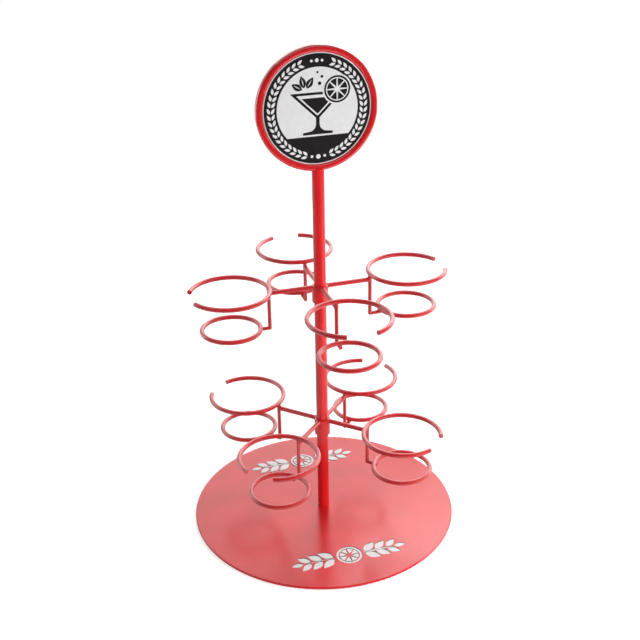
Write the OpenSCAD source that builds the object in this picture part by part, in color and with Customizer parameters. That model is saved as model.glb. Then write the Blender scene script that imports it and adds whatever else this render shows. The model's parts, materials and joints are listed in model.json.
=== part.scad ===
// Drink tower: a round base, a pole with a round sign, and two turning tiers of wire mug holders.
// Millimetres. +Z is up, the sign faces -Y, and the origin is on the table under the pole.

/* [Base] */
// Diameter of the base plate
base_d = 300; // [270:1:340]
// Thickness of the base plate
base_t = 3; // [2.8:0.1:6]
// Rounding of the base plate's edge
base_edge_r = 1.2; // [0.4:0.1:1.3]
// Number of rubber pads under the base
pad_count = 4; // [3:1:8]
// Diameter of one rubber pad
pad_d = 20; // [12:1:30]
// Thickness of the rubber pads
pad_t = 1; // [0.8:0.1:3]
// Distance from the plate's edge to the pad centres
pad_inset = 25; // [18:1:60]

/* [Pole] */
// Outside diameter of the pole
pole_d = 13; // [10:0.5:16]
// Wall of the pole tube
pole_wall = 1.5; // [1.2:0.1:2]
// Diameter of the screw that holds the pole to the base
screw_d = 5; // [4:0.5:5.5]
// Height of the screw's countersunk head
screw_head_h = 2.4; // [1.8:0.1:2.5]
// Length of the screw over all
screw_l = 22; // [16:1:30]
// Free depth beyond the screw's tip
screw_tip_room = 2; // [1:0.5:5]
// Solid end of the foot plug above the screw hole
plug_cap = 4; // [2:0.5:10]

/* [Tiers] */
// Height of the upper arms above the table
upper_arm_z = 284.5; // [260:0.5:320]
// Height of the lower arms above the table
lower_arm_z = 120.2; // [100:0.1:150]
// Angle between the lower and the upper arms
stagger = 45; // [0:1:45]
// Wall of the tier collars
collar_wall = 2.2; // [2.2:0.05:4]
// Height of the tier collars
collar_h = 19; // [12:0.5:24]
// How far the arms stand above the collar's edge
arm_rise = 1; // [0:0.1:1.5]
// Chamfer on the collar's outer edges
collar_chamfer = 0.4; // [0.2:0.1:0.8]

/* [Snap rings] */
// Height of a snap ring
snap_h = 1; // [0.8:0.1:1.5]
// How far a snap ring stands out of the pole
snap_out = 0.9; // [0.6:0.1:1]
// Depth of a snap ring's groove in the pole
groove_depth = 0.5; // [0.3:0.1:0.7]
// Opening angle of a snap ring
snap_gap_angle = 40; // [20:1:80]
// Collar edge that hides the snap ring
snap_cover = 0.5; // [0.2:0.1:2]

/* [Mug holders] */
// Wire diameter of the arms
arm_wire_d = 5; // [4:0.5:6]
// Wire diameter of the uprights
post_wire_d = 4; // [3:0.5:5]
// Wire diameter of the rings
ring_wire_d = 5; // [4:0.5:6]
// Distance from the pole's axis to a holder's centre
holder_r = 98.5; // [90:0.5:110]
// Inside diameter of the open cup ring
cup_ring_inner_d = 79; // [72:0.5:86]
// Inside diameter of the closed rest ring
rest_ring_inner_d = 57; // [50:0.5:62]
// Opening angle of the cup ring
cup_ring_gap = 44; // [30:1:60]
// Height of the cup ring's middle above the arm's axis
ring_above_arm = 6.3; // [6:0.1:10]
// Height of the cup ring above the rest ring
ring_drop = 42; // [34:1:60]
// How far the upright's foot runs past the rest ring's middle
foot_past = 2; // [0.5:0.5:3]

/* [Sign] */
// Height of the sign's centre above the table
sign_z = 476; // [440:0.5:520]
// Outside diameter of the sign's rim
sign_d = 126; // [110:1:150]
// Width of the rim, seen from the front
rim_w = 7; // [6.9:0.1:10]
// Rounding of the rim's outer edges
rim_outer_r = 3.4; // [1.5:0.1:3.4]
// Rounding of the rim's inner edges
rim_inner_r = 3.4; // [1:0.1:3.4]
// Thickness of one printed panel
panel_t = 1.2; // [1:0.1:4]
// How deep the panels lie behind the rim's faces
panel_recess = 2.8; // [2:0.1:3.2]
// Thickness of the core plate between the panels
core_t = 2; // [1.5:0.1:5]
// Height of the stem's head between the pole and the rim
stem_head_h = 6; // [4:0.5:15]
// How high the stem's saddle reaches up beside the rim
saddle_h = 2.5; // [1:0.1:3]
// Length of the stem inside the pole
stem_shank_l = 30; // [15:1:60]

/* [Clearances] */
// Radial clearance of a collar on the pole
run_gap = 0.05; // [0.02:0.01:0.1]
// Clearance between a collar and its snap ring, sideways
swivel_gap = 0.3; // [0.3:0.05:0.5]
// Clearance between a collar and its snap ring, upright
seat_gap = 0.1; // [0.05:0.01:0.2]
// Gap left for the weld between two wires
weld_gap = 0.1; // [0.05:0.01:0.2]
// Radial clearance of plugs, screws and snap rings in their seats
seat_fit = 0.03; // [0.01:0.01:0.08]
// Gap around a printed panel
panel_gap = 0.2; // [0.1:0.05:0.5]

/* [Hidden] */
$fn = 96;
eps = 0.01;

base_r = base_d / 2;
base_top = pad_t + base_t;
pad_ring_r = base_r - pad_inset;

pole_r = pole_d / 2;
bore_r = pole_r - pole_wall;
screw_reach = screw_l - base_t;
plug_l = screw_reach + screw_tip_room + plug_cap;
screw_hole_r = screw_d / 2 + seat_fit;

sign_r = sign_d / 2;
rim_depth = core_t + 2 * (panel_t + panel_recess);
rim_bore_r = sign_r - rim_w;
rim_bottom = sign_z - sign_r;
pole_top = rim_bottom - stem_head_h;

arm_r = arm_wire_d / 2;
post_r = post_wire_d / 2;
ring_r = ring_wire_d / 2;
cup_ring_r = cup_ring_inner_d / 2 + ring_r;
rest_ring_r = rest_ring_inner_d / 2 + ring_r;
upright_x = holder_r - cup_ring_r;
foot_end_x = holder_r - rest_ring_r + foot_past;
rest_ring_z = ring_above_arm - ring_drop;
foot_z = rest_ring_z - ring_r - post_r - weld_gap;

collar_r = pole_r + run_gap + collar_wall;
collar_top = arm_r - arm_rise;
collar_bottom = collar_top - collar_h;
counterbore_r = pole_r + snap_out + swivel_gap;
snap_bottom = collar_bottom + snap_cover;
snap_top = snap_bottom + snap_h;
shoulder_z = snap_top + seat_gap;

red = [0.76, 0.07, 0.08];
steel = [0.72, 0.73, 0.75];
dark_steel = [0.35, 0.36, 0.38];
rubber = [0.1, 0.1, 0.1];
print_white = [0.9, 0.9, 0.9];

// The arms' directions, counted anticlockwise from the front
turns = [0, 90, 180, 270];
front = -90;
upper_sides = ["front", "right", "back", "left"];
lower_sides = ["front_right", "back_right", "back_left", "front_left"];
wire_kinds = ["arm", "upright", "cup_ring", "rest_ring"];

function tier_nodes(tier, sides) = concat(
    [str(tier, "_collar"), str(tier, "_snap_ring")],
    [for (kind = wire_kinds) for (side = sides) str(tier, "_", kind, "_", side)]
);

// A ring of round wire, whole or open by an angle that faces +X
module wire_ring(mid_r, wire_r, gap = 0) {
    rotate([0, 0, gap / 2])
        rotate_extrude(angle = 360 - gap)
            translate([mid_r, 0])
                circle(r = wire_r);
}

// A straight wire along +X
module wire_x(from_x, to_x, wire_r) {
    translate([from_x, 0, 0])
        rotate([0, 90, 0])
            cylinder(r = wire_r, h = to_x - from_x);
}

// Section of the sign's rim, grown all round by a gap
module rim_section(grow = 0) {
    w = rim_w + 2 * grow;
    d = rim_depth + 2 * grow;
    inner_r = rim_inner_r + grow;
    outer_r = rim_outer_r + grow;
    translate([rim_bore_r - grow, 0]) {
        translate([0, inner_r - d / 2])
            square([w / 2, d - 2 * inner_r]);
        translate([inner_r, -d / 2])
            square([w - inner_r - outer_r, d]);
        translate([w / 2, outer_r - d / 2])
            square([w / 2, d - 2 * outer_r]);
        for (side = [-1, 1]) {
            translate([inner_r, side * (d / 2 - inner_r)])
                circle(r = inner_r);
            translate([w - outer_r, side * (d / 2 - outer_r)])
                circle(r = outer_r);
        }
    }
}

// The sign's axis lies along Y
module sign_place() {
    translate([0, 0, sign_z])
        rotate([90, 0, 0])
            children();
}

module base_plate() {
    color(red)
        translate([0, 0, pad_t])
            difference() {
                rotate_extrude() {
                    square([base_r - base_edge_r, base_t]);
                    translate([0, base_edge_r])
                        square([base_r, base_t - 2 * base_edge_r]);
                    for (z = [base_edge_r, base_t - base_edge_r])
                        translate([base_r - base_edge_r, z])
                            circle(r = base_edge_r);
                }
                translate([0, 0, -eps])
                    cylinder(r = screw_hole_r, h = base_t + 2 * eps);
                translate([0, 0, -eps])
                    cylinder(r1 = screw_hole_r + screw_head_h + eps, r2 = screw_hole_r, h = screw_head_h + eps);
            }
}

module base_pads() {
    color(rubber)
        for (i = [0 : pad_count - 1])
            rotate([0, 0, (i + 0.5) * 360 / pad_count])
                translate([pad_ring_r, 0, 0])
                    cylinder(d = pad_d, h = pad_t);
}

module base_screw() {
    color(steel)
        translate([0, 0, pad_t]) {
            cylinder(r1 = screw_d / 2 + screw_head_h, r2 = screw_d / 2, h = screw_head_h);
            cylinder(d = screw_d, h = screw_l);
        }
}

module pole_foot_plug() {
    color(steel)
        translate([0, 0, base_top])
            difference() {
                cylinder(r = bore_r - seat_fit, h = plug_l);
                translate([0, 0, -eps])
                    cylinder(r = screw_hole_r, h = screw_reach + screw_tip_room + eps);
            }
}

// A snap ring's groove, cut into the pole for a tier at the arms' height
module snap_groove(arm_z) {
    translate([0, 0, arm_z + snap_bottom - seat_fit])
        rotate_extrude()
            translate([pole_r - groove_depth, 0])
                square([2 * groove_depth, snap_h + 2 * seat_fit]);
}

module pole_tube() {
    color(red)
        difference() {
            translate([0, 0, base_top])
                cylinder(r = pole_r, h = pole_top - base_top);
            translate([0, 0, base_top - eps])
                cylinder(r = bore_r, h = pole_top - base_top + 2 * eps);
            for (arm_z = [lower_arm_z, upper_arm_z])
                snap_groove(arm_z);
        }
}

// Plug in the pole's top, with a saddle that the rim is welded into
module sign_stem() {
    color(red)
        difference() {
            union() {
                translate([0, 0, pole_top - stem_shank_l])
                    cylinder(r = bore_r - seat_fit, h = stem_shank_l + eps);
                translate([0, 0, pole_top])
                    cylinder(r = pole_r, h = stem_head_h + saddle_h);
            }
            sign_place()
                rotate_extrude()
                    rim_section(weld_gap);
            sign_place()
                cylinder(r = rim_bore_r + rim_w / 2, h = rim_depth, center = true);
        }
}

module sign_rim() {
    color(red)
        sign_place()
            rotate_extrude()
                rim_section();
}

module sign_core() {
    color(dark_steel)
        sign_place()
            cylinder(r = rim_bore_r - weld_gap, h = core_t, center = true);
}

module sign_panel(side) {
    color(print_white)
        sign_place()
            translate([0, 0, side * (core_t + panel_t) / 2])
                cylinder(r = rim_bore_r - panel_gap, h = panel_t, center = true);
}

module sign_front_panel() {
    sign_panel(1);
}

module sign_rear_panel() {
    sign_panel(-1);
}

// Sleeve of a tier, with a counterbore below that hides the snap ring
module collar() {
    color(red)
        rotate_extrude()
            polygon([
                [pole_r + run_gap, collar_top],
                [pole_r + run_gap, shoulder_z],
                [counterbore_r, shoulder_z],
                [counterbore_r, collar_bottom],
                [collar_r - collar_chamfer, collar_bottom],
                [collar_r, collar_bottom + collar_chamfer],
                [collar_r, collar_top - collar_chamfer],
                [collar_r - collar_chamfer, collar_top]
            ]);
}

module snap_ring() {
    color(dark_steel)
        rotate_extrude(angle = 360 - snap_gap_angle)
            translate([pole_r - groove_depth + seat_fit, snap_bottom])
                square([groove_depth + snap_out - seat_fit, snap_h]);
}

// Straight wire, hollowed at both ends to fit the collar and the upright
module arm() {
    color(red)
        difference() {
            wire_x(pole_r, upright_x - post_r / 3, arm_r);
            cylinder(r = collar_r + weld_gap, h = 4 * arm_wire_d, center = true);
            translate([upright_x, 0, 0])
                cylinder(r = post_r + weld_gap, h = 4 * arm_wire_d, center = true);
        }
}

// Wire that stands under the cup ring, with a tight corner to the foot under the rest ring
module upright() {
    color(red)
        difference() {
            union() {
                translate([upright_x, 0, foot_z])
                    cylinder(r = post_r, h = ring_above_arm - foot_z);
                translate([upright_x, 0, foot_z])
                    sphere(r = post_r);
                translate([0, 0, foot_z])
                    wire_x(upright_x, foot_end_x, post_r);
            }
            translate([holder_r, 0, ring_above_arm])
                wire_ring(cup_ring_r, ring_r + weld_gap);
        }
}

module cup_ring() {
    color(red)
        translate([holder_r, 0, ring_above_arm])
            wire_ring(cup_ring_r, ring_r, cup_ring_gap);
}

module rest_ring() {
    color(red)
        translate([holder_r, 0, rest_ring_z])
            wire_ring(rest_ring_r, ring_r);
}

// One wire of the kind named, on a tier at the arms' height and turned to its side
module tier_wire(kind, arm_z, turn) {
    translate([0, 0, arm_z])
        rotate([0, 0, front + turn]) {
            if (kind == "arm") arm();
            if (kind == "upright") upright();
            if (kind == "cup_ring") cup_ring();
            if (kind == "rest_ring") rest_ring();
        }
}

base_plate();
base_pads();
base_screw();
pole_foot_plug();
pole_tube();
sign_stem();
sign_rim();
sign_core();
sign_front_panel();
sign_rear_panel();
translate([0, 0, upper_arm_z]) collar();  // upper_collar
translate([0, 0, lower_arm_z]) collar();  // lower_collar
translate([0, 0, upper_arm_z]) snap_ring();  // upper_snap_ring
translate([0, 0, lower_arm_z]) snap_ring();  // lower_snap_ring
for (kind = wire_kinds, i = [0 : 3]) {
    tier_wire(kind, upper_arm_z, turns[i]);
    tier_wire(kind, lower_arm_z, turns[i] + stagger);
}
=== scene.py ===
import json
import math

import bpy
from mathutils import Matrix, Vector


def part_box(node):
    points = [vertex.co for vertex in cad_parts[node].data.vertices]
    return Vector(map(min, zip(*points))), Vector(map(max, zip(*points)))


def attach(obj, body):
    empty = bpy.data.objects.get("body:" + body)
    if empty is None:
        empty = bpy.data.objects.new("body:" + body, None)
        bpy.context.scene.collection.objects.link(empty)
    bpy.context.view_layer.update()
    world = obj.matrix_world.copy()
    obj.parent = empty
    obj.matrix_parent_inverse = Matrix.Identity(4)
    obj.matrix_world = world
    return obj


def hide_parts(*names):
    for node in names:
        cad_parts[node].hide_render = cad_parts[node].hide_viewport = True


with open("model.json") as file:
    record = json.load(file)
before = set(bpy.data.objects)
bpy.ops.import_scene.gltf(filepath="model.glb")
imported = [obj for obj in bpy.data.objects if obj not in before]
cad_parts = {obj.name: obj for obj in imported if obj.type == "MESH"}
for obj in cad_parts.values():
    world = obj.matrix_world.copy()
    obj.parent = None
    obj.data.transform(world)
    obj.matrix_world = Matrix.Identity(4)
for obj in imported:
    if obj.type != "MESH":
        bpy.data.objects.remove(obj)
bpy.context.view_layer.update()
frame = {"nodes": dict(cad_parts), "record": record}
scene = bpy.context.scene
scene.view_settings.view_transform = "Standard"
mm = 0.001
print("frame loaded:", len(frame["nodes"]), "nodes")


# small helpers for picking and placing

def pickOnly(*objects):
    if bpy.context.object and bpy.context.object.mode != "OBJECT":
        bpy.ops.object.mode_set(mode="OBJECT")
    bpy.ops.object.select_all(action="DESELECT")
    for obj in objects:
        obj.select_set(True)
    if objects:
        bpy.context.view_layer.objects.active = objects[0]


def placeAndApply(piece, matrix):
    piece.matrix_world = matrix
    pickOnly(piece)
    bpy.ops.object.transform_apply(location=True, rotation=True, scale=True)


def closeMesh(piece, reach=0.002 * mm):
    pickOnly(piece)
    bpy.ops.object.mode_set(mode="EDIT")
    bpy.ops.mesh.select_all(action="SELECT")
    bpy.ops.mesh.remove_doubles(threshold=reach)
    bpy.ops.mesh.normals_make_consistent(inside=False)
    bpy.ops.object.mode_set(mode="OBJECT")


def ownCopy(piece, name):
    twin = piece.copy()
    twin.data = piece.data.copy()
    twin.name = name
    scene.collection.objects.link(twin)
    return twin


def joinAs(name, parts):
    pickOnly(*parts)
    if len(parts) > 1:
        bpy.ops.object.join()
    whole = bpy.context.object
    whole.name = name
    return whole


def pickFaces(piece, test):
    pickOnly(piece)
    bpy.ops.object.mode_set(mode="EDIT")
    bpy.ops.mesh.select_mode(type="FACE")
    bpy.ops.mesh.select_all(action="DESELECT")
    bpy.ops.object.mode_set(mode="OBJECT")
    for face in piece.data.polygons:
        face.select = test(face)
    bpy.ops.object.mode_set(mode="EDIT")


def dress(piece, material, body):
    piece.data.materials.clear()
    piece.data.materials.append(material)
    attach(piece, body)


# camera, at the photograph's place

photoCamera = {
    "spot": (-0.30057, -0.99282, 0.74194),
    "heading": 16.8106,   # degrees right of +Y
    "tilt": 25.6155,      # degrees below the horizon
    "roll": -1.00143,
    "lens": 59.826,       # mm
    "sensor": 36.0,
    "nearest": 0.01,
}


def addCamera(spec):
    bpy.ops.object.camera_add()
    camera = bpy.context.object
    camera.name = "photoCamera"
    camera.data.lens = spec["lens"]
    camera.data.sensor_width = spec["sensor"]
    camera.data.clip_start = spec["nearest"]
    turn = Matrix.Rotation(-math.radians(spec["heading"]), 4, "Z")
    turn = turn @ Matrix.Rotation(math.radians(90 - spec["tilt"]), 4, "X")
    turn = turn @ Matrix.Rotation(math.radians(spec["roll"]), 4, "Z")
    camera.matrix_world = Matrix.Translation(spec["spot"]) @ turn
    scene.camera = camera


addCamera(photoCamera)
print("camera placed")


# materials: slow tones, uneven gloss and a fine grain, all from noise

noiseSpan = (0.3, 0.7)        # where most of a noise's values lie
toneSpan = (0.35, 0.65)


def addNoise(tree, spec):
    scale, detail, seed = spec
    coords = tree.nodes.new("ShaderNodeTexCoord")
    noise = tree.nodes.new("ShaderNodeTexNoise")
    noise.noise_dimensions = "4D"
    noise.inputs["W"].default_value = seed
    noise.inputs["Scale"].default_value = scale
    noise.inputs["Detail"].default_value = detail
    tree.links.new(coords.outputs["Object"], noise.inputs["Vector"])
    return noise.outputs["Fac"]


def addColours(tree, value, colours):
    ramp = tree.nodes.new("ShaderNodeValToRGB")
    for element, position, colour in zip(ramp.color_ramp.elements, toneSpan, colours):
        element.position = position
        element.color = (*colour, 1.0)
    tree.links.new(value, ramp.inputs["Fac"])
    return ramp.outputs["Color"]


def addRange(tree, value, fromSpan, toSpan):
    spread = tree.nodes.new("ShaderNodeMapRange")
    for label, span in (("From", fromSpan), ("To", toSpan)):
        spread.inputs[f"{label} Min"].default_value = span[0]
        spread.inputs[f"{label} Max"].default_value = span[1]
    tree.links.new(value, spread.inputs["Value"])
    return spread.outputs["Result"]


def addBump(tree, value, strength, depth):
    bump = tree.nodes.new("ShaderNodeBump")
    bump.inputs["Strength"].default_value = strength
    bump.inputs["Distance"].default_value = depth
    tree.links.new(value, bump.inputs["Height"])
    return bump.outputs["Normal"]


def makeFinish(name, look):
    material = bpy.data.materials.new(name)
    material.use_nodes = True
    tree = material.node_tree
    shader = tree.nodes["Principled BSDF"]
    colour = addColours(tree, addNoise(tree, look["toneNoise"]), look["tones"])
    tree.links.new(colour, shader.inputs["Base Color"])
    gloss = addRange(tree, addNoise(tree, look["roughNoise"]), noiseSpan, look["roughness"])
    tree.links.new(gloss, shader.inputs["Roughness"])
    if look["grainNoise"]:
        grain = addNoise(tree, look["grainNoise"])
        bump = addBump(tree, grain, look["grainStrength"], look["grainDepth"])
        tree.links.new(bump, shader.inputs["Normal"])
    shader.inputs["Specular IOR Level"].default_value = look["shine"]
    shader.inputs["Metallic"].default_value = look["metal"]
    return material


# each noise is given as its scale per metre, its detail and its seed
redCoatLook = {
    "tones": ((0.79, 0.016, 0.020), (0.85, 0.020, 0.024)),
    "toneNoise": (30.0, 2.0, 0.0),
    "roughness": (0.19, 0.26),
    "roughNoise": (220.0, 3.0, 2.0),
    "grainNoise": (900.0, 1.0, 5.0),     # orange peel of the powder coat
    "grainStrength": 0.25,
    "grainDepth": 0.02 * mm,
    "shine": 0.5,
    "metal": 0.0,
}
# the thin wires: the red coat with its red darkened as painted shade, and mirroring more
shadedWireCoatLook = {
    **redCoatLook,
    "tones": ((0.60, 0.014, 0.018), (0.65, 0.017, 0.021)),
    "roughness": (0.27, 0.35),
    "shine": 1.0,
}
# the sign's rim is the smoothest, and its red is darkened a little as painted shade
shadedRimCoatLook = {
    **redCoatLook,
    "tones": ((0.71, 0.015, 0.018), (0.765, 0.018, 0.022)),
    "roughness": (0.06, 0.10),
    "shine": 1.0,
}
signBoardLook = {
    "tones": ((0.82, 0.815, 0.82), (0.86, 0.855, 0.86)),
    "toneNoise": (160.0, 4.0, 0.0),
    "roughness": (0.55, 0.65),
    "roughNoise": (420.0, 2.0, 3.0),
    "grainNoise": (2600.0, 2.0, 7.0),
    "grainStrength": 0.15,
    "grainDepth": 0.01 * mm,
    "shine": 0.2,
    "metal": 0.0,
}
blackInkLook = {
    **signBoardLook,
    "tones": ((0.014, 0.013, 0.013), (0.019, 0.017, 0.018)),
    "roughness": (0.5, 0.6),
}
whiteInkLook = {
    **signBoardLook,
    "tones": ((0.93, 0.93, 0.93), (0.96, 0.96, 0.96)),
    "roughness": (0.25, 0.32),
    "shine": 0.5,
}
zincSteelLook = {
    "tones": ((0.55, 0.56, 0.58), (0.64, 0.65, 0.66)),
    "toneNoise": (300.0, 4.0, 0.0),
    "roughness": (0.25, 0.38),
    "roughNoise": (900.0, 3.0, 3.0),
    "grainNoise": None,
    "shine": 0.5,
    "metal": 1.0,
}
springSteelLook = {
    **zincSteelLook,
    "tones": ((0.06, 0.06, 0.065), (0.1, 0.1, 0.11)),
    "roughness": (0.35, 0.5),
}
padRubberLook = {
    "tones": ((0.022, 0.022, 0.023), (0.035, 0.035, 0.036)),
    "toneNoise": (500.0, 4.0, 0.0),
    "roughness": (0.7, 0.85),
    "roughNoise": (700.0, 2.0, 3.0),
    "grainNoise": (3000.0, 3.0, 7.0),
    "grainStrength": 0.5,
    "grainDepth": 0.05 * mm,
    "shine": 0.5,
    "metal": 0.0,
}

redCoat = makeFinish("redCoat", redCoatLook)
shadedWireCoat = makeFinish("shadedWireCoat", shadedWireCoatLook)
shadedRimCoat = makeFinish("shadedRimCoat", shadedRimCoatLook)
signBoard = makeFinish("signBoard", signBoardLook)
blackInk = makeFinish("blackInk", blackInkLook)
whiteInk = makeFinish("whiteInk", whiteInkLook)
zincSteel = makeFinish("zincSteel", zincSteelLook)
springSteel = makeFinish("springSteel", springSteelLook)
padRubber = makeFinish("padRubber", padRubberLook)

finishOfSlot = {
    "red_coat": redCoat,
    "steel": zincSteel,
    "spring_steel": springSteel,
    "rubber": padRubber,
    "panel_print": signBoard,
}
slotOfNode = {part["node"]: part["material_slot"] for part in frame["record"]["subparts"]}
# wires and the sign's rim take copies of the red coat whose red is darkened as painted shade
finishOfKind = {
    "_arm_": shadedWireCoat,
    "_upright_": shadedWireCoat,
    "_cup_ring_": shadedWireCoat,
    "_rest_ring_": shadedWireCoat,
    "sign_rim": shadedRimCoat,
}
for nodeName, node in frame["nodes"].items():
    finish = finishOfSlot[slotOfNode[nodeName]]
    for kind, ownFinish in finishOfKind.items():
        if kind in nodeName:
            finish = ownFinish
    for materialSlot in node.material_slots:
        materialSlot.material = finish
print("finishes on the carried-over nodes")


# flat print: outlines in the print's own plane, filled and given the thickness of a layer of ink

outlinePoints = {"band": 128, "circle": 64, "dot": 24}
leafLean = 0.85               # below 1 puts a leaf's widest part nearer its foot
segmentSteps = 8
segmentTip = 2.2              # from a wheel's centre to a segment's point, in gaps


def arcLine(centre, radius, start, sweep, count):
    steps = [math.radians(start + sweep * i / count) for i in range(count + 1)]
    return [(centre[0] + radius * math.cos(a), centre[1] + radius * math.sin(a)) for a in steps]


def circleLine(centre, radius, kind="circle"):
    return arcLine(centre, radius, 0, 360, outlinePoints[kind])[:-1]


def turned(line, angle, shift=(0, 0)):
    c, s = math.cos(math.radians(angle)), math.sin(math.radians(angle))
    return [(shift[0] + c * u - s * v, shift[1] + s * u + c * v) for u, v in line]


def leafLine(foot, length, width, angle, count=10):
    upper = []
    for i in range(count + 1):
        t = i / count
        upper.append((length * t, width / 2 * math.sin(math.pi * t ** leafLean)))
    lower = [(u, -v) for u, v in reversed(upper[1:-1])]
    return turned(upper + lower, angle, foot)


def roundedLine(corners, radius, steps=6):
    line = []
    for i, corner in enumerate(corners):
        here = Vector(corner)
        before = Vector(corners[i - 1])
        after = Vector(corners[(i + 1) % len(corners)])
        start = here + (before - here).normalized() * radius
        end = here + (after - here).normalized() * radius
        for k in range(steps + 1):
            t = k / steps
            line.append(tuple(start * (1 - t) ** 2 + here * 2 * t * (1 - t) + end * t ** 2))
    return line


def wheelLines(centre, radius, rind, segments, gap):
    lines = [circleLine(centre, radius), circleLine(centre, radius - rind)]
    inner = radius - rind - gap
    share = 360 / segments
    lean = math.degrees(gap / inner / 2)
    for i in range(segments):
        start = i * share + lean
        middle = math.radians(i * share + share / 2)
        tip = segmentTip * gap
        apex = (centre[0] + tip * math.cos(middle), centre[1] + tip * math.sin(middle))
        lines.append([apex] + arcLine(centre, inner, start, share - 2 * lean, segmentSteps))
    return lines


def printLayer(name, lines, lift, thick):
    flat = bpy.data.curves.new(name, "CURVE")
    flat.dimensions = "2D"
    flat.fill_mode = "BOTH"
    flat.extrude = thick / 2 * mm
    for line in lines:
        spline = flat.splines.new("POLY")
        spline.points.add(len(line) - 1)
        for point, (u, v) in zip(spline.points, line):
            point.co = (u * mm, v * mm, 0, 1)
        spline.use_cyclic_u = True
    layer = bpy.data.objects.new(name, flat)
    scene.collection.objects.link(layer)
    pickOnly(layer)
    bpy.ops.object.convert(target="MESH")
    layer = bpy.context.object
    placeAndApply(layer, Matrix.Translation((0, 0, (lift + thick / 2) * mm)))
    closeMesh(layer)
    return layer


def printBothSides(layer, name, material, front, rear):
    twin = ownCopy(layer, name + "_rear")
    placeAndApply(twin, rear)
    placeAndApply(layer, front)
    dress(layer, material, "stand")
    dress(twin, material, "stand")


def mirrored(lines):
    return [[(-u, v) for u, v in line] for line in lines]


# sign print: a cocktail glass on a table, inside a band with a laurel wreath

signPrint = {
    "bandOuter": 54.9,        # mm, radius
    "bandInner": 41.8,
    "tableTop": -27.0,
    "branchRadius": 48.0,
    "branchFrom": -76,        # degrees, where the right-hand branch starts and ends
    "branchTo": 74,
    "branchSteps": 20,
    "leafLength": 6.6,
    "leafWidth": 2.9,
    "leafSpread": 27,         # degrees from the branch's line
    "leafOffset": 0.8,
    "berries": ((90, 1.9), (83.5, 1.4), (96.5, 1.4), (270, 2.4), (262, 1.5), (278, 1.5)),
    "bowlHalf": 28.0,         # half width of the glass at its brim
    "brim": 17.0,
    "bowlDepth": 27.0,
    "bowlRounding": 1.4,
    "wall": 2.5,              # drawn line of the glass
    "drinkGap": 1.5,
    "drinkTop": 11.5,
    "stemHalf": 1.9,
    "flare": 7.5,             # curve from the stem to the foot
    "flareLift": 0.8,
    "flareSteps": 10,
    "footHalf": 15.5,
    "footTop": -22.9,
    "footBottom": -25.2,
    "wheelCentre": (20.5, 18.5),
    "wheelRadius": 13.5,
    "wheelRind": 1.9,
    "wheelSegments": 8,
    "wheelGap": 1.1,
    "haloWidth": 1.6,
    "mintFoot": (-12.5, 18.5),
    "mintAngles": (58, 104, 150),
    "mintGap": 3.4,
    "mintLength": 12.5,
    "mintWidth": 6.6,
    "mintSteps": 14,
    "ribStart": 2.0,          # midrib, from the leaf's foot
    "ribShorter": 4.5,        # than the leaf
    "ribWidth": 0.9,
    "ribSteps": 8,
    "bubbles": ((2.5, 25.5, 1.8), (5.0, 32.0, 1.4), (0.5, 36.5, 1.1)),
    "ink": 0.05,              # thickness of one layer
}


def wreathLines(spec):
    branch = []
    share = (spec["branchTo"] - spec["branchFrom"]) / spec["branchSteps"]
    for i in range(spec["branchSteps"]):
        angle = spec["branchFrom"] + i * share
        for side in (-1, 1):
            foot = turned([(spec["branchRadius"] + side * spec["leafOffset"], 0)], angle)[0]
            lean = angle + share / 2 + 90 - side * spec["leafSpread"]
            branch.append(leafLine(foot, spec["leafLength"], spec["leafWidth"], lean))
    berries = []
    for angle, radius in spec["berries"]:
        berries.append(circleLine(turned([(spec["branchRadius"], 0)], angle)[0], radius, "dot"))
    return branch + mirrored(branch) + berries


def bandLines(spec):
    start = math.degrees(math.asin(spec["tableTop"] / spec["bandInner"]))
    window = arcLine((0, 0), spec["bandInner"], start, 180 - 2 * start, outlinePoints["band"])
    return [circleLine((0, 0), spec["bandOuter"], "band"), window]


def bowlLine(spec, inset, top):
    slope = spec["bowlHalf"] / spec["bowlDepth"]
    apex = spec["brim"] - spec["bowlDepth"] + inset / math.sin(math.atan(slope))
    half = (top - apex) * slope
    return roundedLine([(-half, top), (half, top), (0, apex)], spec["bowlRounding"])


def glassLines(spec):
    slope = spec["bowlHalf"] / spec["bowlDepth"]
    stemTop = spec["brim"] - spec["bowlDepth"] + spec["stemHalf"] / slope
    middle = (spec["stemHalf"] + spec["flare"], spec["footTop"] + spec["flare"] + spec["flareLift"])
    right = [(spec["bowlHalf"], spec["brim"]), (spec["stemHalf"], stemTop)]
    right += arcLine(middle, spec["flare"], 180, 90, spec["flareSteps"])
    right += [(spec["footHalf"], spec["footTop"]), (spec["footHalf"], spec["footBottom"])]
    outline = right + [(-u, v) for u, v in reversed(right)]
    hollow = bowlLine(spec, spec["wall"], spec["brim"] - spec["wall"])
    drink = bowlLine(spec, spec["wall"] + spec["drinkGap"], spec["drinkTop"])
    return [outline, hollow, drink]


def mintLines(spec):
    lines = []
    for angle in spec["mintAngles"]:
        foot = turned([(spec["mintGap"], 0)], angle, spec["mintFoot"])[0]
        rib = turned([(spec["mintGap"] + spec["ribStart"], 0)], angle, spec["mintFoot"])[0]
        length = spec["mintLength"]
        lines.append(leafLine(foot, length, spec["mintWidth"], angle, spec["mintSteps"]))
        length -= spec["ribShorter"]
        lines.append(leafLine(rib, length, spec["ribWidth"], angle, spec["ribSteps"]))
    return lines + [circleLine((u, v), radius, "dot") for u, v, radius in spec["bubbles"]]


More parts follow.
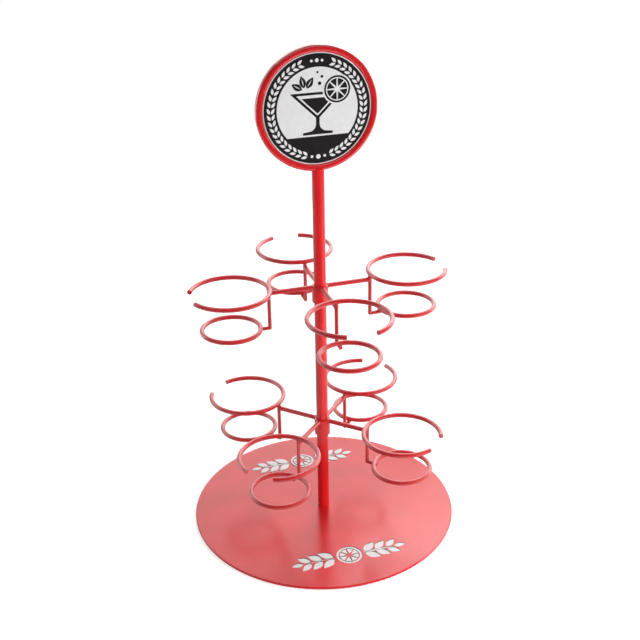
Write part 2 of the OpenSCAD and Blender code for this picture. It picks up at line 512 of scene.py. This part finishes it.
def buildSignPrint(spec):
    ink = spec["ink"]
    halo = [circleLine(spec["wheelCentre"], spec["wheelRadius"] + spec["haloWidth"])]
    wheel = wheelLines(
        spec["wheelCentre"], spec["wheelRadius"], spec["wheelRind"],
        spec["wheelSegments"], spec["wheelGap"])
    drawing = bandLines(spec) + glassLines(spec) + mintLines(spec)
    ground = printLayer("bandAndGlass", drawing, 0, ink)
    over = printLayer("wheel", wheel, 2 * ink, ink)
    light = printLayer("wreathAndHalo", wreathLines(spec) + halo, ink, ink)
    light.name = "signLightPrint_front"
    return joinAs("signBlackPrint_front", [ground, over]), light


frontLow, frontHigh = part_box("sign_front_panel")
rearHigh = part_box("sign_rear_panel")[1]
signZ = (frontLow.z + frontHigh.z) / 2
upright = Matrix.Rotation(math.radians(90), 4, "X")
halfTurn = Matrix.Rotation(math.radians(180), 4, "Z")
frontFace = Matrix.Translation((0, frontLow.y, signZ)) @ upright
rearFace = Matrix.Translation((0, rearHigh.y, signZ)) @ halfTurn @ upright
blackPrint, lightPrint = buildSignPrint(signPrint)
printBothSides(blackPrint, "signBlackPrint", blackInk, frontFace, rearFace)
printBothSides(lightPrint, "signLightPrint", signBoard, frontFace, rearFace)
print("sign printed on both faces")


# base ornament: a citrus wheel between two leaf sprigs, white with a dark shadow

baseOrnament = {
    "front": (-2.0, -100.0),  # mm, middle of the ornament on the plate
    "rear": (2.0, 97.0),
    "wheelRadius": 14.0,
    "wheelRind": 2.2,
    "wheelSegments": 8,
    "wheelGap": 1.3,
    "stemStart": 16.5,
    "stemLength": 36.0,
    "stemWidth": 1.8,
    "leafStart": 18.0,
    "leafPairs": 3,
    "leafStep": 13.0,
    "leafLength": (18.5, 15.0),   # first and last
    "leafWidth": (9.2, 7.6),
    "leafAngle": 37,
    "leafOffset": 1.7,
    "tipStart": 52.5,
    "tipLength": 13.0,
    "tipWidth": 6.0,
    "shadow": (0.9, 1.1),     # mm, how far the dark copy is shifted
    "ink": 0.04,
}


def sprigLines(spec):
    lines = wheelLines(
        (0, 0), spec["wheelRadius"], spec["wheelRind"], spec["wheelSegments"], spec["wheelGap"])
    half = [leafLine((spec["stemStart"], 0), spec["stemLength"], spec["stemWidth"], 0)]
    half.append(leafLine((spec["tipStart"], 0), spec["tipLength"], spec["tipWidth"], 0))
    for i in range(spec["leafPairs"]):
        t = i / (spec["leafPairs"] - 1)
        length = spec["leafLength"][0] * (1 - t) + spec["leafLength"][1] * t
        width = spec["leafWidth"][0] * (1 - t) + spec["leafWidth"][1] * t
        for way in (1, -1):
            foot = (spec["leafStart"] + i * spec["leafStep"], way * spec["leafOffset"])
            half.append(leafLine(foot, length, width, way * spec["leafAngle"]))
    return lines + half + mirrored(half)


def buildOrnament(spec):
    lines = sprigLines(spec)
    du, dv = spec["shadow"]
    darkLines = [[(u + du, v + dv) for u, v in line] for line in lines]
    dark = printLayer("ornamentShadow_front", darkLines, 0, spec["ink"])
    white = printLayer("ornamentWhite_front", lines, spec["ink"], spec["ink"])
    return white, dark


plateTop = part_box("base_plate")[1].z


def spotOnPlate(spot):
    return Matrix.Translation((spot[0] * mm, spot[1] * mm, plateTop))


frontSpot = spotOnPlate(baseOrnament["front"])
rearSpot = spotOnPlate(baseOrnament["rear"]) @ halfTurn
whiteMark, darkMark = buildOrnament(baseOrnament)
printBothSides(whiteMark, "ornamentWhite", whiteInk, frontSpot, rearSpot)
printBothSides(darkMark, "ornamentShadow", blackInk, frontSpot, rearSpot)
print("base ornaments printed")


# weld beads of one holder, modelled on the right-hand holder of the upper tier

weldBead = {
    "collar": 0.8 * mm,       # bead radius at each joint
    "upright": 0.7 * mm,
    "cupRing": 0.6 * mm,
    "restRing": 0.8 * mm,
    "points": 32,
    "roundSteps": 3,
    "weldReach": 0.001 * mm,  # points nearer than this become one
    "uprightShare": 0.95,     # width of the bead as a share of the upright's
    "restShare": 0.7,
}


def beadLoop(name, points, radius, spec):
    route = bpy.data.curves.new(name, "CURVE")
    route.dimensions = "3D"
    route.bevel_depth = radius
    route.bevel_resolution = spec["roundSteps"]
    spline = route.splines.new("POLY")
    spline.points.add(len(points) - 1)
    for point, spot in zip(spline.points, points):
        point.co = (*spot, 1)
    spline.use_cyclic_u = True
    bead = bpy.data.objects.new(name, route)
    scene.collection.objects.link(bead)
    pickOnly(bead)
    bpy.ops.object.convert(target="MESH")
    closeMesh(bpy.context.object, spec["weldReach"])
    bpy.ops.object.shade_smooth()
    return bpy.context.object


def buildBeads(spec):
    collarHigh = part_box("upper_collar")[1]
    armLow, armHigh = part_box("upper_arm_right")
    postLow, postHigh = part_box("upper_upright_right")
    cupLow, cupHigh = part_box("upper_cup_ring_right")
    restLow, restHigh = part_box("upper_rest_ring_right")
    armZ, armR = (armLow.z + armHigh.z) / 2, (armHigh.z - armLow.z) / 2
    postR = (postHigh.y - postLow.y) / 2
    postX, footZ = postLow.x + postR, postLow.z + postR
    cupZ, ringR = (cupLow.z + cupHigh.z) / 2, (cupHigh.z - cupLow.z) / 2
    cupR = (cupHigh.y - cupLow.y) / 2 - ringR
    holderX = cupLow.x + ringR + cupR
    restX, restZ = restLow.x + ringR, (restLow.z + restHigh.z) / 2
    restBeadR = spec["restShare"] * postR
    restBeadZ = (restZ - ringR + footZ + postR) / 2
    collarR, collarTop = collarHigh.x, collarHigh.z
    loops = {"collar": [], "upright": [], "cupRing": [], "restRing": []}
    for i in range(spec["points"]):
        turn = 2 * math.pi * i / spec["points"]
        c, s = math.cos(turn), math.sin(turn)
        y, z = armR * c, min(armZ + armR * s, collarTop)
        loops["collar"].append((math.sqrt(collarR ** 2 - y ** 2), y, z))
        y = spec["uprightShare"] * postR * c
        loops["upright"].append((postX - math.sqrt(postR ** 2 - y ** 2), y, armZ + armR * s))
        x, y = postX + postR * c, postR * s
        off = math.hypot(x - holderX, y) - cupR
        loops["cupRing"].append((x, y, cupZ - math.sqrt(ringR ** 2 - off ** 2)))
        loops["restRing"].append((restX + restBeadR * c, restBeadR * s, restBeadZ))
    beads = []
    for joint, points in loops.items():
        beads.append(beadLoop("bead_" + joint, points, spec[joint], spec))
    return joinAs("beadPattern", beads), armZ


turnOfSide = {
    "upper": {"right": 0, "back": 90, "left": 180, "front": 270},
    "lower": {"back_right": 45, "back_left": 135, "front_left": 225, "front_right": 315},
}
beads, beadZ = buildBeads(weldBead)
for tier, sides in turnOfSide.items():
    for side, angle in sides.items():
        armLow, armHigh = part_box(f"{tier}_arm_{side}")
        lower = Matrix.Translation((0, 0, (armLow.z + armHigh.z) / 2 - beadZ))
        piece = ownCopy(beads, f"weldBeads_{tier}_{side}")
        placeAndApply(piece, lower @ Matrix.Rotation(math.radians(angle), 4, "Z"))
        # the weld beads take the wire coat with its painted shade
        dress(piece, shadedWireCoat, tier + "_tier")
bpy.data.objects.remove(beads)
print("weld beads on eight holders")


# rubber pads with rounded edges, under the plate

padShape = {
    "radius": 10.0 * mm,
    "edge": 0.3 * mm,
    "rim": 2.5 * mm,          # flat rim round the hollow underside
    "dish": 0.2 * mm,
    "sides": 48,
    "edgeSteps": 3,
    "sharpFrom": 60,          # degrees between faces, for the rounded edge
    "smoothTo": 40,
}
flatness = 0.9                # least part of a normal along Z for a level face


def buildPads(spec):
    low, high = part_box("base_pads")
    padR = spec["radius"]
    reach = (high.x - padR) * math.sqrt(2)
    thick = high.z - low.z
    pickOnly()
    bpy.ops.mesh.primitive_cylinder_add(
        vertices=spec["sides"], radius=padR, depth=thick, location=(reach, 0, low.z + thick / 2))
    pad = bpy.context.object
    bpy.ops.object.transform_apply(location=True, rotation=True, scale=True)
    pickFaces(pad, lambda face: face.normal.z < -flatness)
    bpy.ops.mesh.inset(thickness=spec["rim"])
    bpy.ops.mesh.inset(thickness=spec["edge"])
    bpy.ops.transform.translate(value=(0, 0, spec["dish"]))
    bpy.ops.object.mode_set(mode="OBJECT")
    rounding = pad.modifiers.new("edge", "BEVEL")
    rounding.width = spec["edge"]
    rounding.segments = spec["edgeSteps"]
    rounding.limit_method = "ANGLE"
    rounding.angle_limit = math.radians(spec["sharpFrom"])
    pickOnly(pad)
    bpy.ops.object.modifier_apply(modifier="edge")
    bpy.ops.object.shade_smooth_by_angle(angle=math.radians(spec["smoothTo"]))
    pads = []
    for i in range(4):
        twin = ownCopy(pad, f"pad_{i}")
        placeAndApply(twin, Matrix.Rotation(math.radians(45 + 90 * i), 4, "Z"))
        pads.append(twin)
    bpy.data.objects.remove(pad)
    return joinAs("basePads", pads)


pads = buildPads(padShape)
dress(pads, padRubber, "stand")
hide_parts("base_pads")
print("base pads made")


# countersunk screw with a hex socket, seen from below

screwShape = {
    "shank": 2.5 * mm,        # radius
    "headHeight": 2.4 * mm,
    "socketAcross": 3.0 * mm,
    "socketDepth": 1.7 * mm,
    "tip": 0.6 * mm,
    "tipTaper": 0.7,
    "sides": 48,
    "smoothTo": 30,           # degrees
}


def buildScrew(spec):
    low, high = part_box("base_screw")
    head = spec["headHeight"]
    pickOnly()
    bpy.ops.mesh.primitive_cone_add(
        vertices=spec["sides"], radius1=high.x, radius2=spec["shank"], depth=head,
        location=(0, 0, low.z + head / 2))
    screw = bpy.context.object
    bpy.ops.object.transform_apply(location=True, rotation=True, scale=True)
    pickFaces(screw, lambda face: face.normal.z > flatness)
    length = high.z - low.z - head - spec["tip"]
    bpy.ops.mesh.extrude_region_move(TRANSFORM_OT_translate={"value": (0, 0, length)})
    bpy.ops.mesh.extrude_region_move(TRANSFORM_OT_translate={"value": (0, 0, spec["tip"])})
    bpy.ops.transform.resize(value=(spec["tipTaper"], spec["tipTaper"], 1))
    bpy.ops.object.mode_set(mode="OBJECT")
    bpy.ops.mesh.primitive_cylinder_add(
        vertices=6, radius=spec["socketAcross"] / math.sqrt(3), depth=2 * spec["socketDepth"],
        location=(0, 0, low.z))
    key = bpy.context.object
    socket = screw.modifiers.new("socket", "BOOLEAN")
    socket.operation = "DIFFERENCE"
    socket.object = key
    pickOnly(screw)
    bpy.ops.object.modifier_apply(modifier="socket")
    bpy.data.objects.remove(key)
    bpy.ops.object.shade_smooth_by_angle(angle=math.radians(spec["smoothTo"]))
    screw.name = "baseScrew"
    return screw


screw = buildScrew(screwShape)
dress(screw, zincSteel, "stand")
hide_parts("base_screw")
print("base screw made")


# floor, world and lamps

studio = {
    "floorSize": 14.0,
    "floorGrey": 0.8,
    "glow": (0.65, 1.0),      # white added for the camera and for reflections, near and far
    "glowReach": (0.35, 1.0),
    "ambient": 0.0,           # lamps do all of the lighting
}


def grey(level):
    return (level, level, level, 1)


def addWhiteSwitch(tree):
    path = tree.nodes.new("ShaderNodeLightPath")
    first = tree.nodes.new("ShaderNodeMath")
    second = tree.nodes.new("ShaderNodeMath")
    first.operation = second.operation = "MAXIMUM"
    tree.links.new(path.outputs["Is Camera Ray"], first.inputs[0])
    tree.links.new(path.outputs["Is Glossy Ray"], first.inputs[1])
    tree.links.new(first.outputs[0], second.inputs[0])
    tree.links.new(path.outputs["Is Transmission Ray"], second.inputs[1])
    return second.outputs[0]


def buildFloor(spec):
    pickOnly()
    bpy.ops.mesh.primitive_plane_add(size=spec["floorSize"], location=(0, 0, 0))
    floor = bpy.context.object
    floor.name = "floor"
    material = bpy.data.materials.new("paleFloor")
    material.use_nodes = True
    tree = material.node_tree
    tree.nodes.remove(tree.nodes["Principled BSDF"])
    matt = tree.nodes.new("ShaderNodeBsdfDiffuse")
    matt.inputs["Color"].default_value = grey(spec["floorGrey"])
    coords = tree.nodes.new("ShaderNodeTexCoord")
    away = tree.nodes.new("ShaderNodeVectorMath")
    away.operation = "LENGTH"
    tree.links.new(coords.outputs["Object"], away.inputs[0])
    grow = addRange(tree, away.outputs["Value"], spec["glowReach"], spec["glow"])
    seen = tree.nodes.new("ShaderNodeMath")
    seen.operation = "MULTIPLY"
    tree.links.new(grow, seen.inputs[0])
    tree.links.new(addWhiteSwitch(tree), seen.inputs[1])
    glow = tree.nodes.new("ShaderNodeEmission")
    tree.links.new(seen.outputs[0], glow.inputs["Strength"])
    both = tree.nodes.new("ShaderNodeAddShader")
    tree.links.new(matt.outputs[0], both.inputs[0])
    tree.links.new(glow.outputs[0], both.inputs[1])
    tree.links.new(both.outputs[0], tree.nodes["Material Output"].inputs["Surface"])
    material.cycles.emission_sampling = "NONE"
    floor.data.materials.append(material)


def buildWorld(spec):
    world = bpy.data.worlds.new("studioWorld")
    scene.world = world
    world.use_nodes = True
    world.cycles.sampling_method = "NONE"
    tree = world.node_tree
    soft = tree.nodes["Background"]
    soft.inputs["Color"].default_value = grey(1)
    soft.inputs["Strength"].default_value = spec["ambient"]
    white = tree.nodes.new("ShaderNodeBackground")
    white.inputs["Color"].default_value = grey(1)
    mix = tree.nodes.new("ShaderNodeMixShader")
    tree.links.new(addWhiteSwitch(tree), mix.inputs["Fac"])
    tree.links.new(soft.outputs[0], mix.inputs[1])
    tree.links.new(white.outputs[0], mix.inputs[2])
    tree.links.new(mix.outputs[0], tree.nodes["World Output"].inputs["Surface"])


# cards are seen in reflections only, and the soft fills light without being seen in them
cards = {
    "rightCard": {"around": 10, "up": 10, "reach": 1.1, "size": 0.6, "watts": 3.8},
    "rightRearCard": {"around": 45, "up": 10, "reach": 1.1, "size": 0.6, "watts": 2.8},
    "rearCard": {"around": 80, "up": 10, "reach": 1.1, "size": 0.6, "watts": 2.0},
    "leftRearCard": {"around": 145, "up": 10, "reach": 1.1, "size": 0.6, "watts": 3.0},
    "highRightCard": {"around": 50, "up": 40, "reach": 1.1, "size": 0.6, "watts": 5.3},
    "highRearCard": {"around": 85, "up": 40, "reach": 1.1, "size": 0.6, "watts": 1.8},
}
fills = {
    "frontFill": {"around": 303, "up": 8, "reach": 0.75, "size": 0.5, "watts": 4.7},
    "highFill": {"around": 350, "up": 40, "reach": 0.75, "size": 0.5, "watts": 1.1},
    "leftFill": {"around": 200, "up": 35, "reach": 0.5, "size": 0.25, "watts": 0.7},
    "rearFill": {"around": 60, "up": 50, "reach": 1.1, "size": 0.3, "watts": 5.0},
    "lowRearFill": {"around": 95, "up": -8, "reach": 1.1, "size": 0.4, "watts": 1.8},
    "lowFill": {"around": 240, "up": -10, "reach": 1.1, "size": 0.3, "watts": 0.4},
    # narrow, so that it lights the sign's back and little else
    "rearSignFill": {
        "around": 90, "up": 10, "reach": 0.7, "size": 0.2, "watts": 0.05,
        "aim": (0, 0, 0.485), "spread": 22,
    },
}
lampAim = (0, 0, 0.25)
lampSpread = 180              # degrees


def addLamp(name, spec, inReflections):
    bpy.ops.object.light_add(type="AREA")
    lamp = bpy.context.object
    lamp.name = name
    lamp.data.energy = spec["watts"]
    lamp.data.size = spec["size"]
    lamp.data.spread = math.radians(spec.get("spread", lampSpread))
    lamp.visible_glossy = inReflections
    lamp.visible_diffuse = not inReflections
    around, up = math.radians(spec["around"]), math.radians(spec["up"])
    level = math.cos(up)
    out = Vector((level * math.cos(around), level * math.sin(around), math.sin(up)))
    spot = Vector(spec.get("aim", lampAim)) + spec["reach"] * out
    facing = out.to_track_quat("Z", "Y").to_matrix().to_4x4()
    lamp.matrix_world = Matrix.Translation(spot) @ facing


# curved black cloths that only reflections see, in degrees anticlockwise from +X
flags = {
    "highFlag": {"bottom": 0.25, "height": 0.75, "from": 160, "to": 352},
    "lowFlag": {"bottom": 0.002, "height": 0.248, "from": 205, "to": 298},
}
flagCloth = {"radius": 0.45, "sides": 72, "grey": 0.05, "roughness": 1.0}


def bearing(spot):
    return math.degrees(math.atan2(spot.y, spot.x)) % 360


def addFlag(name, spec, cloth):
    pickOnly()
    bpy.ops.mesh.primitive_cylinder_add(
        vertices=cloth["sides"], radius=cloth["radius"], depth=spec["height"],
        end_fill_type="NOTHING", location=(0, 0, spec["bottom"] + spec["height"] / 2))
    panel = bpy.context.object
    panel.name = name
    pickFaces(panel, lambda face: not spec["from"] < bearing(face.center) < spec["to"])
    bpy.ops.mesh.delete(type="FACE")
    bpy.ops.object.mode_set(mode="OBJECT")
    material = bpy.data.materials.new(f"{name}Cloth")
    material.use_nodes = True
    shader = material.node_tree.nodes["Principled BSDF"]
    shader.inputs["Base Color"].default_value = grey(cloth["grey"])
    shader.inputs["Roughness"].default_value = cloth["roughness"]
    panel.data.materials.append(material)
    panel.visible_camera = False
    panel.visible_diffuse = False
    panel.visible_shadow = False


buildFloor(studio)
buildWorld(studio)
for lampName, lampSpec in cards.items():
    addLamp(lampName, lampSpec, True)
for lampName, lampSpec in fills.items():
    addLamp(lampName, lampSpec, False)
for flagName, flagSpec in flags.items():
    addFlag(flagName, flagSpec, flagCloth)
print("studio lit")

bpy.context.view_layer.update()
